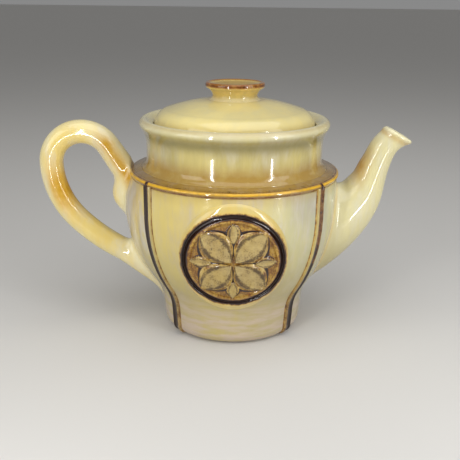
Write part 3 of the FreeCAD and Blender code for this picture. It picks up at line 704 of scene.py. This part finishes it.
def shade_knob(x, y, radius, height):
    upper = smooth(KNOB_TOP - 3.0, KNOB_TOP - 2.0, height)
    band = upper * smooth(KNOB_RADIUS - 3.4, KNOB_RADIUS - 2.0, radius)
    middle = 1 - smooth(KNOB_RADIUS - 6, KNOB_RADIUS - 3, radius)
    dish = smooth(KNOB_TOP - 3.4, KNOB_TOP - 2.6, height) * middle
    foot = 1 - smooth(LID_TOP + 0.4, LID_TOP + 2.6, height)
    return {
        "gold_and_shade": band,
        "dark": band * 0.4 * hump(KNOB_TOP - 1.6, 1.1, height),
        "amber": dish * 0.8,
        "pale": foot * 0.6,
    }


lid = turned(
    "lid_dome_glazed", lid_outline(), LID_SEGMENTS, shade_lid, "lid", ("lid_dome",),
    LID_GLAZE)
bore(lid, (0, VENT_OFFSET, LID_SEAT), (0, VENT_OFFSET, LID_TOP + VENT_CLEARANCE), VENT_RADIUS)
turned(
    "lid_knob_glazed", knob_outline(), KNOB_SEGMENTS, shade_knob, "lid", ("lid_knob",),
    KNOB_GLAZE)


# Handle

HANDLE_RADIUS, HANDLE_REACH = 7.5, 116.6
BOW_RADIUS, BOW_HEIGHT, RUN_ANGLE = 20.0, 105.6, math.radians(33)
BACK_CURVE, BACK_TURN = 53.0, math.radians(45)
LOWER_CURVE, LOWER_TURN = 113.0, math.radians(18)
BOW_POINTS, CURVE_POINTS = 26, 20
UPPER_ROOT_X, UPPER_ROOT_RADIUS = -56.4, 9.0
LOWER_ROOT_X, LOWER_ROOT_RADIUS = -40.0, 13.0
TAIL_PLACE, TAIL_HALVES, TAIL_BLEND = (-66.0, 0.0, 86.4), (12.3, 8.5, 13.2), 5.0
HANDLE_BLEND, HANDLE_CLAY_REACH = 6.0, 7.0
EDGE_LAP, EDGE_ROUNDING = 1.0, 1.4
HANDLE_EYE = (BOW_RADIUS - HANDLE_REACH, BOW_HEIGHT - 12)
HANDLE_BOX, HANDLE_STEP = ((-126, -22, 6), (-36, 22, 136)), 1.15


def handle_path():
    """The rod's middle line from its upper root round to its lower one, as x and z."""
    turns = [math.pi, math.pi + BACK_TURN, math.pi + BACK_TURN + LOWER_TURN]
    centre = np.array((BOW_RADIUS - HANDLE_REACH, BOW_HEIGHT))
    angles = np.linspace(RUN_ANGLE, math.pi, BOW_POINTS)
    bow = centre + BOW_RADIUS * np.stack((np.cos(angles), np.sin(angles)), 1)
    heading = np.array((math.sin(RUN_ANGLE), -math.cos(RUN_ANGLE)))
    root = bow[0] + heading * (UPPER_ROOT_X - bow[0, 0]) / heading[0]
    stretches = [root[None], bow]
    for curve, first, last in ((BACK_CURVE, *turns[:2]), (LOWER_CURVE, *turns[1:])):
        start = stretches[-1][-1]
        centre = start - curve * np.array((math.cos(first), math.sin(first)))
        angles = np.linspace(first, last, CURVE_POINTS)[1:]
        stretches.append(centre + curve * np.stack((np.cos(angles), np.sin(angles)), 1))
    end = stretches[-1][-1]
    heading = np.array((-math.sin(turns[2]), math.cos(turns[2])))
    stretches.append((end + heading * (LOWER_ROOT_X - end[0]) / heading[0])[None])
    return np.concatenate(stretches)


HANDLE_LINE = handle_path()
HANDLE_FLARE = np.full(len(HANDLE_LINE), HANDLE_RADIUS)
HANDLE_FLARE[0], HANDLE_FLARE[-1] = UPPER_ROOT_RADIUS, LOWER_ROOT_RADIUS


def rod_field(p):
    """Distance to the rod, and how far along its line the nearest point lies, from 0 to 1."""
    best, along = np.full(len(p), 1e9), np.zeros(len(p))
    for i in range(len(HANDLE_LINE) - 1):
        a, b = HANDLE_LINE[i], HANDLE_LINE[i + 1]
        run = b - a
        share = np.clip(((p[:, [0, 2]] - a) @ run) / (run @ run), 0, 1)
        away = p[:, [0, 2]] - a - share[:, None] * run
        radius = HANDLE_FLARE[i] + share * (HANDLE_FLARE[i + 1] - HANDLE_FLARE[i])
        distance = np.sqrt((away ** 2).sum(1) + p[:, 1] ** 2) - radius
        nearer = distance < best
        best[nearer] = distance[nearer]
        along[nearer] = (i + share[nearer]) / (len(HANDLE_LINE) - 1)
    return best, along


def tail_field(p):
    """About how far a point is off the pressed tail, an egg of clay under the upper root."""
    away = (p - np.array(TAIL_PLACE)) / np.array(TAIL_HALVES)
    size = np.linalg.norm(away, axis=1)
    steep = np.linalg.norm(away / np.array(TAIL_HALVES), axis=1)
    return size * (size - 1) / np.maximum(steep, 1e-6)


def handle_field(p):
    """Rod and tail pressed onto the belly, and ended in the wall and at the shoulder's edge."""
    clay = join(rod_field(p)[0], tail_field(p), TAIL_BLEND)
    blended = join(clay, belly_field(p) + ROOT_SKIN, HANDLE_BLEND)
    limited = np.maximum(blended, clay - HANDLE_CLAY_REACH)
    rooted = np.maximum(limited, -(off_wall(p) + ROOT_SUNK))
    past_edge = np.hypot(p[:, 0], p[:, 1]) - SHOULDER_RADIUS + EDGE_LAP
    over_ledge = np.maximum(past_edge, SHOULDER_HEIGHT - EDGE_LAP - p[:, 2])
    return meet(rooted, -over_ledge, EDGE_ROUNDING)


def shade_handle(points):
    along = rod_field(points)[1]
    last = len(HANDLE_LINE) - 1
    stations = np.arange(last + 1)
    middle = np.stack([np.interp(along * last, stations, HANDLE_LINE[:, k]) for k in (0, 1)], 1)
    inward = np.array(HANDLE_EYE) - middle
    inward /= np.maximum(np.linalg.norm(inward, axis=1), 1)[:, None]
    facing = ((points[:, [0, 2]] - middle) * inward).sum(1) / HANDLE_RADIUS
    hollow = smooth(-0.7, 0.1, facing) * hump(0.52, 0.12, along)
    root = hump(0.02, 0.06, along) * hump(-0.15, 0.5, facing)
    off_belly = belly_field(points)
    seam = hump(0.4, 0.7, off_belly) * smooth(0.7, 0.85, along)
    milky = strongest(smooth(0.0, 1.0, -facing) * 0.5, (1 - smooth(0.5, 7, off_belly)) * 0.75)
    return {"amber": strongest(hollow, root), "gold_and_shade": seam * 0.2, "pale": milky}


handle_points, handle_faces = clay_mesh(handle_field, *HANDLE_BOX, HANDLE_STEP)
new_piece(
    "handle_glazed", handle_points, handle_faces, shade_handle(handle_points), "pot", ("handle",),
    HANDLE_GLAZE)


# Spout

SPOUT_STATIONS = [
    # x, z, half length, half width and tilt of each section from the root to the mouth
    (56.0, 60.0, 34.0, 21.0, 74.0),
    (72.5, 72.3, 23.0, 17.0, 94.0),
    (84.3, 88.5, 14.8, 12.5, 124.0),
    (89.4, 105.3, 9.8, 9.3, 150.0),
    (95.2, 119.0, 8.7, 8.0, 156.0),
    (104.1, 126.5, 10.2, 8.5, 151.0),
]
SPOUT_SECTIONS, SPOUT_WALL = 60, 3.0
SPOUT_BLEND, SPOUT_CLAY_REACH, BORE_BLEND = 4.0, 6.0, 1.4
LIP_ROUNDING, LIP_BEAD, BEAD_BLEND = 2.0, 1.8, 0.8
TIP_REACH, TIP_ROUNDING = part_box("spout")[1].x / MM - 0.1, 1.6
SPOUT_BOX, SPOUT_STEP = ((38, -28, 14), (116, 28, 133)), 1.05


def spout_frames(count):
    """Sections along the spout on an even curve through the stations."""
    stations = np.array(SPOUT_STATIONS)
    before, after = 2 * stations[:1] - stations[1:2], 2 * stations[-1:] - stations[-2:-1]
    padded = np.concatenate((before, stations, after))
    places = np.linspace(0, len(stations) - 1, count)
    first = np.minimum(places.astype(int), len(stations) - 2)
    t = (places - first)[:, None]
    a, b, c, d = (padded[first + k] for k in range(4))
    square, cube = 2 * a - 5 * b + 4 * c - d, 3 * b - a - 3 * c + d
    return 0.5 * (2 * b + (c - a) * t + square * t ** 2 + cube * t ** 3)


SPOUT_FRAMES = spout_frames(SPOUT_SECTIONS)


def spout_section(p):
    """For points: share of the way along the spout, offset along a section's long axis, its half length
    and half width, and how far past the mouth they are."""
    x, z, half_long, half_wide, tilt = SPOUT_FRAMES.T
    tilt = np.radians(tilt)
    ahead = (p[:, :1] - x) * np.sin(tilt) - (p[:, 2:] - z) * np.cos(tilt)
    i = np.clip((ahead > 0).sum(1) - 1, 0, len(x) - 2)
    rows = np.arange(len(p))
    share = np.clip(ahead[rows, i] / np.maximum(ahead[rows, i] - ahead[rows, i + 1], 1e-6), 0, 1)
    x, z, half_long, half_wide, tilt = (
        values[i] + share * (values[i + 1] - values[i]) for values in (x, z, half_long, half_wide, tilt))
    along = (p[:, 0] - x) * np.cos(tilt) + (p[:, 2] - z) * np.sin(tilt)
    return (i + share) / (len(SPOUT_FRAMES) - 1), along, half_long, half_wide, ahead[:, -1]


def spout_field(p):
    """A tube pressed onto the belly, with a rounded lip and a blunt tip, and ended in the wall."""
    _, u, half_long, half_wide, past_mouth = spout_section(p)
    v = p[:, 1]

    def tube(inset):
        a, b = half_long - inset, half_wide - inset
        size = np.sqrt((u / a) ** 2 + (v / b) ** 2)
        steep = np.sqrt((u / a ** 2) ** 2 + (v / b ** 2) ** 2)
        return size * (size - 1) / np.maximum(steep, 1e-6)

    outside = tube(0.0)
    solid = join(outside, belly_field(p) + ROOT_SKIN, SPOUT_BLEND)
    solid = np.maximum(solid, outside - SPOUT_CLAY_REACH)
    hollow = meet(solid, -tube(SPOUT_WALL), BORE_BLEND)
    cut = meet(hollow, past_mouth, LIP_ROUNDING)
    bead = np.hypot(tube(SPOUT_WALL / 2), past_mouth + LIP_BEAD) - LIP_BEAD
    lipped = meet(join(cut, bead, BEAD_BLEND), p[:, 0] - TIP_REACH, TIP_ROUNDING)
    return np.maximum(lipped, -(off_wall(p) + ROOT_SUNK))


def shade_spout(points):
    share, u, half_long, _, past_mouth = spout_section(points)
    back = smooth(0.2, 0.95, u / half_long) * hump(0.54, 0.17, share)
    seam = hump(0.5, 0.6, belly_field(points))
    # The pale on the spout's rounded lip is painted highlight.
    lip = smooth(-1.8, -0.8, past_mouth)
    under_lip = hump(-3.6, 1.6, past_mouth)
    return {"amber": strongest(back * 0.8, under_lip * 0.5), "gold_and_shade": seam * 0.3, "pale": lip * 0.7}


spout_points, spout_faces = clay_mesh(spout_field, *SPOUT_BOX, SPOUT_STEP)
new_piece(
    "spout_glazed", spout_points, spout_faces, shade_spout(spout_points), "pot", ("spout",),
    SPOUT_GLAZE)


# Applied ribs

RIB_BASE, RIB_LAP, RIB_ROWS, RIB_COLUMNS = 1.5, 0.8, 130, 45
RIB_HALF_WIDTH, RIB_EDGE, RIB_EDGE_DROP, RIB_BACK_HALF_WIDTH = 4.4, 3.5, 0.65, 4.2
RIB_PROUD, RIB_WEB, RIB_SUNK = 1.6, 0.3, 1.8
BEAD_WIDTH, RIDGE_WIDTH, GROOVE_WIDTH = 2.8, 1.6, 3.0
BEAD_AT, RIDGE_AT = GROOVE_WIDTH / 2 + BEAD_WIDTH / 2, -GROOVE_WIDTH / 2 - RIDGE_WIDTH / 2
BEAD_ROUND, RIDGE_ROUND, RIDGE_SHARE = 1.25, 0.8, 0.7
RIB_DEEPENS = (14, 72)
DEEP, SHALLOW = 0.75, 0.42


def rib(name, angle, panel_side, depth):
    """An upright strip up one meridian: a round bead on the panel's side, a groove and a thin ridge.

    depth is how dark its groove is at the top.
    """
    across = np.linspace(-RIB_HALF_WIDTH, RIB_HALF_WIDTH, RIB_COLUMNS)
    heights = np.linspace(RIB_BASE, UNDER_EDGE + RIB_LAP, RIB_ROWS)
    raised = hump(BEAD_AT, BEAD_ROUND, across) + RIDGE_SHARE * hump(RIDGE_AT, RIDGE_ROUND, across)
    lift = RIB_WEB - RIB_EDGE_DROP * smooth(RIB_EDGE, RIB_HALF_WIDTH, np.abs(across))
    lift = lift + (RIB_PROUD - RIB_WEB) * raised
    back = [(RIB_BACK_HALF_WIDTH, -RIB_SUNK), (-RIB_BACK_HALF_WIDTH, -RIB_SUNK)]
    side, rise = np.concatenate((np.stack((across, lift), 1), back)).T
    columns = len(side)
    radius = belly_radius(heights)
    spread = angle + panel_side * side[None] / radius[:, None]
    out = radius[:, None] + rise[None]
    z = np.repeat(heights[:, None], columns, 1)
    points = np.stack((out * np.sin(spread), -out * np.cos(spread), z), -1).reshape(-1, 3)
    faces = grid_faces(RIB_ROWS, columns, False)
    if panel_side < 0:
        faces = [face[::-1] for face in faces]
    last = (RIB_ROWS - 1) * columns
    foot, head = tuple(range(columns)), tuple(range(last, last + columns))
    ends = [foot[::-panel_side], head[::panel_side]]
    low = 1 - smooth(*RIB_DEEPENS, heights)[:, None]
    side = np.broadcast_to(side, z.shape)
    groove = hump(-1.0, 2.1 + 1.1 * low, side)
    stain = hump(-0.6, 2.8 + 1.2 * low, side)
    crest = hump(BEAD_AT, 0.9, side)
    flank = hump(1.7, 0.8, side)
    ridge = hump(RIDGE_AT, 0.9, side)
    line = hump(BEAD_AT + 1.5, 0.5, side)
    outer = hump(RIDGE_AT - 1.2, 0.5, side)
    masks = {
        "dark": strongest(groove * (depth + (1.1 - depth) * low), 0.4 * line, 0.4 * outer),
        "gold_and_shade": strongest(flank * 0.7, line * 0.7, outer * 0.6) * (1.4 - depth),
        "amber": strongest(strongest(stain * 0.95, outer * 0.5) * (1 - 0.5 * crest), 0.3 + 0.5 * low),
        # The pale on the bead's crest and on the ridge is painted highlight.
        "pale": strongest(crest * 0.15, ridge * 0.2) * (1 - low),
        "speckle": strongest(low * 0.75, stain * 0.45) * (1 - 0.4 * crest),
    }
    masks = {key: value.reshape(-1) for key, value in masks.items()}
    new_piece(name + "_glazed", points, faces + ends, masks, "pot", (name,), RIB_GLAZE)


rib("front_left_rib", -RIB_ANGLE, 1, DEEP)
rib("front_right_rib", RIB_ANGLE, -1, SHALLOW)
rib("back_right_rib", math.pi - RIB_ANGLE, 1, SHALLOW)
rib("back_left_rib", math.pi + RIB_ANGLE, -1, DEEP)


# Applied medallions

MEDALLION_HEIGHT, MEDALLION_HALF_WIDTH, MEDALLION_HALF_HEIGHT = 62.0, 32.6, 37.0
MEDALLION_RINGS, MEDALLION_COLUMNS, MEDALLION_SUNK = 110, 240, 1.6
GROOVE_RADIUS, BORDER_RADIUS = 29.4, 26.6
FIELD_RISE, BORDER_RISE, PETAL_RISE, PETAL_DISH = 0.5, 1.2, 1.6, 0.6
HALO_PROUD, HALO_FOOT, GROOVE_CUT, EDGE_TUCK = 1.8, 0.3, 0.3, 0.9
MIDDLE_SHADE = 0.6

# Turn in degrees, middle, half length and half width of each leaf
PETALS = [(45 + 90 * index, 14.2, 12.6, 10.4) for index in range(4)]
BUDS = [(90 * index, 19.0, 6.2, 4.0) for index in range(4)]
LEAST_WIDTH = 0.05


def petal_share(across, up):
    """1 along the spine of the nearest petal or bud, 0 on its edge, negative between them."""
    best = np.full(across.shape, -1.0)
    for degrees, middle, half_length, half_width in PETALS + BUDS:
        turn = math.radians(degrees)
        along = across * math.cos(turn) + up * math.sin(turn) - middle
        aside = -across * math.sin(turn) + up * math.cos(turn)
        width = half_width * (1 - (along / half_length) ** 2)
        share = 1 - np.abs(aside) / np.maximum(width, LEAST_WIDTH)
        best = np.maximum(best, np.where(width > LEAST_WIDTH, share, -1.0))
    return best


def medallion(name, facing):
    """A soft raised oval round a dark ring, a border and a low field with four petals and four buds."""
    share = np.linspace(0, 1, MEDALLION_RINGS)[1:, None]
    turn = np.linspace(0, 2 * math.pi, MEDALLION_COLUMNS, endpoint=False)[None]
    across = share * MEDALLION_HALF_WIDTH * np.cos(turn)
    up = share * MEDALLION_HALF_HEIGHT * np.sin(turn)
    away = np.hypot(across, up)
    rim = away / share
    halo = np.clip((away - GROOVE_RADIUS) / np.maximum(rim - GROOVE_RADIUS, 0.5), 0, 1)
    petal = petal_share(across, up)
    border = smooth(BORDER_RADIUS - 2.6, BORDER_RADIUS - 1.0, away)
    border = border * (1 - smooth(BORDER_RADIUS + 0.6, GROOVE_RADIUS - 1.0, away))
    raised = smooth(0.0, 0.3, petal)
    dished = smooth(0.35, 1.0, petal)
    rise = FIELD_RISE + BORDER_RISE * border + raised * PETAL_RISE - PETAL_DISH * dished
    halo_rise = HALO_FOOT + HALO_PROUD * np.sin(math.pi * np.sqrt(halo)) ** 0.9
    rise = np.where(away > GROOVE_RADIUS, halo_rise, rise)
    rise = rise - GROOVE_CUT * hump(GROOVE_RADIUS, 1.0, away) - EDGE_TUCK * smooth(0.94, 1.0, share)
    height = MEDALLION_HEIGHT + up
    out = belly_radius(height) + rise
    back = belly_radius(height[-1]) - MEDALLION_SUNK
    front = np.stack((across, facing * np.sqrt(out ** 2 - across ** 2), height), -1).reshape(-1, 3)
    edge = np.stack((across[-1], facing * np.sqrt(back ** 2 - across[-1] ** 2), height[-1]), -1)
    wall = belly_radius(MEDALLION_HEIGHT)
    middle = np.array([[0, facing * (wall + FIELD_RISE), MEDALLION_HEIGHT]])
    behind = np.array([[0, facing * (wall - MEDALLION_SUNK), MEDALLION_HEIGHT]])
    points = np.concatenate((front, edge, middle, behind))
    columns, rows = MEDALLION_COLUMNS, len(share) + 1
    last, hub = (rows - 1) * columns, rows * columns
    faces = grid_faces(rows, columns, False)
    faces += [(hub, (j + 1) % columns, j) for j in range(columns)]
    faces += [(hub + 1, last + j, last + (j + 1) % columns) for j in range(columns)]
    if facing < 0:
        faces = [face[::-1] for face in faces]
    within = 1 - smooth(BORDER_RADIUS - 1.0, BORDER_RADIUS, away)
    ring = hump(GROOVE_RADIUS - 0.5, 2.1, away)
    ground = within * (1 - smooth(-0.05, 0.05, petal))
    outline = within * hump(-0.03, 0.09, petal)
    petal_rim = within * hump(0.17, 0.1, petal)
    petal_edge = within * hump(0.38, 0.24, petal)
    petal_field = within * smooth(0.25, 0.5, petal)
    gilt = 0.5 * hump(GROOVE_RADIUS + 2.0, 0.8, away) + 0.7 * hump(BORDER_RADIUS - 0.4, 1.2, away)
    halo_pool = 0.2 * np.sin(math.pi * halo)
    shades = {
        "dark": strongest(ring * 0.9, outline, petal_rim * 0.3, ground * 0.22),
        "gold_and_shade": strongest(petal_rim * 0.3, gilt * 0.6, ground * 0.3),
        "amber": strongest(ground, border * 0.85, halo_pool, petal_field * 0.62, petal_edge * 0.95),
        "speckle": strongest(petal_edge * 0.82, petal_field * 0.42, ground * 0.55, border * 0.55),
    }
    rest = np.concatenate((np.zeros(columns), [MIDDLE_SHADE, 0]))
    masks = {key: np.concatenate((value.reshape(-1), rest)) for key, value in shades.items()}
    new_piece(name + "_glazed", points, faces, masks, "pot", (name,), RELIEF_GLAZE)


medallion("front_medallion", -1)
medallion("back_medallion", 1)


# Pieces that keep their CAD form

for node, finish in (("strainer", BELLY_GLAZE), ("lid_flange", LID_GLAZE)):
    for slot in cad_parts[node].material_slots:
        slot.material = finish


# Floor, light and camera

FLOOR_SIZE, FLOOR_DROP, FLOOR_ROUGHNESS = 60, 0.0002, 0.85
PAPER = colour(212, 210, 206)
WORLD_COLOUR, WORLD_LEVEL = (1.0, 1.0, 1.0, 1.0), 0.25
BELLY_MIDDLE, BELLY_UPPER = (0, 0, 0.08), (0, 0, 0.09)
CAMERA_PLACE = Vector((-2.1, -430.0, 204.1)) * MM
CAMERA_PITCH, CAMERA_ROLL = math.radians(18.37), 0.012
FOCAL_PIXELS, FRAME_PIXELS, SENSOR_WIDTH = 687.0, 460, 36.0
NEAR_CLIP, FAR_CLIP = 0.01, 100.0

paper = bpy.data.materials.new("floor_paper")
paper.use_nodes = True
paper_shader = paper.node_tree.nodes["Principled BSDF"]
paper_shader.inputs["Base Color"].default_value = PAPER
paper_shader.inputs["Roughness"].default_value = FLOOR_ROUGHNESS
bpy.ops.mesh.primitive_plane_add(size=FLOOR_SIZE, location=(0, 0, -FLOOR_DROP))
floor = bpy.context.object
floor.name = "floor"
floor.data.materials.append(paper)

world = bpy.data.worlds.new("studio")
world.use_nodes = True
background = world.node_tree.nodes["Background"]
background.inputs["Color"].default_value = WORLD_COLOUR
background.inputs["Strength"].default_value = WORLD_LEVEL
bpy.context.scene.world = world


def softbox(name, place, target, wide, tall, watts):
    light = bpy.data.lights.new(name, "AREA")
    light.shape, light.size, light.size_y, light.energy = "RECTANGLE", wide, tall, watts
    lamp = bpy.data.objects.new(name, light)
    lamp.location = place
    lamp.rotation_mode = "QUATERNION"
    lamp.rotation_quaternion = (Vector(target) - Vector(place)).to_track_quat("-Z", "Y")
    bpy.context.scene.collection.objects.link(lamp)


softbox("overhead_box", (0.1, -0.25, 0.9), BELLY_MIDDLE, wide=1.3, tall=0.9, watts=4.8)
softbox("left_window", (-0.75, -0.55, 0.40), BELLY_MIDDLE, wide=0.5, tall=0.6, watts=1.8)
softbox("right_window", (0.75, -0.50, 0.40), BELLY_MIDDLE, wide=0.5, tall=0.6, watts=1.7)
softbox("left_strip", (-0.16, -0.33, 0.16), BELLY_UPPER, wide=0.014, tall=0.30, watts=0.45)
softbox("right_strip", (0.27, -0.27, 0.16), BELLY_UPPER, wide=0.012, tall=0.30, watts=0.40)

view = bpy.data.cameras.new("camera")
view.sensor_width = SENSOR_WIDTH
view.lens = view.sensor_width * FOCAL_PIXELS / FRAME_PIXELS
view.clip_start, view.clip_end = NEAR_CLIP, FAR_CLIP
camera = bpy.data.objects.new("camera", view)
bpy.context.scene.collection.objects.link(camera)
tilt = Matrix.Rotation(math.pi / 2 - CAMERA_PITCH, 4, "X") @ Matrix.Rotation(CAMERA_ROLL, 4, "Z")
camera.matrix_world = Matrix.Translation(CAMERA_PLACE) @ tilt
bpy.context.scene.camera = camera
bpy.context.scene.view_settings.view_transform = "Standard"
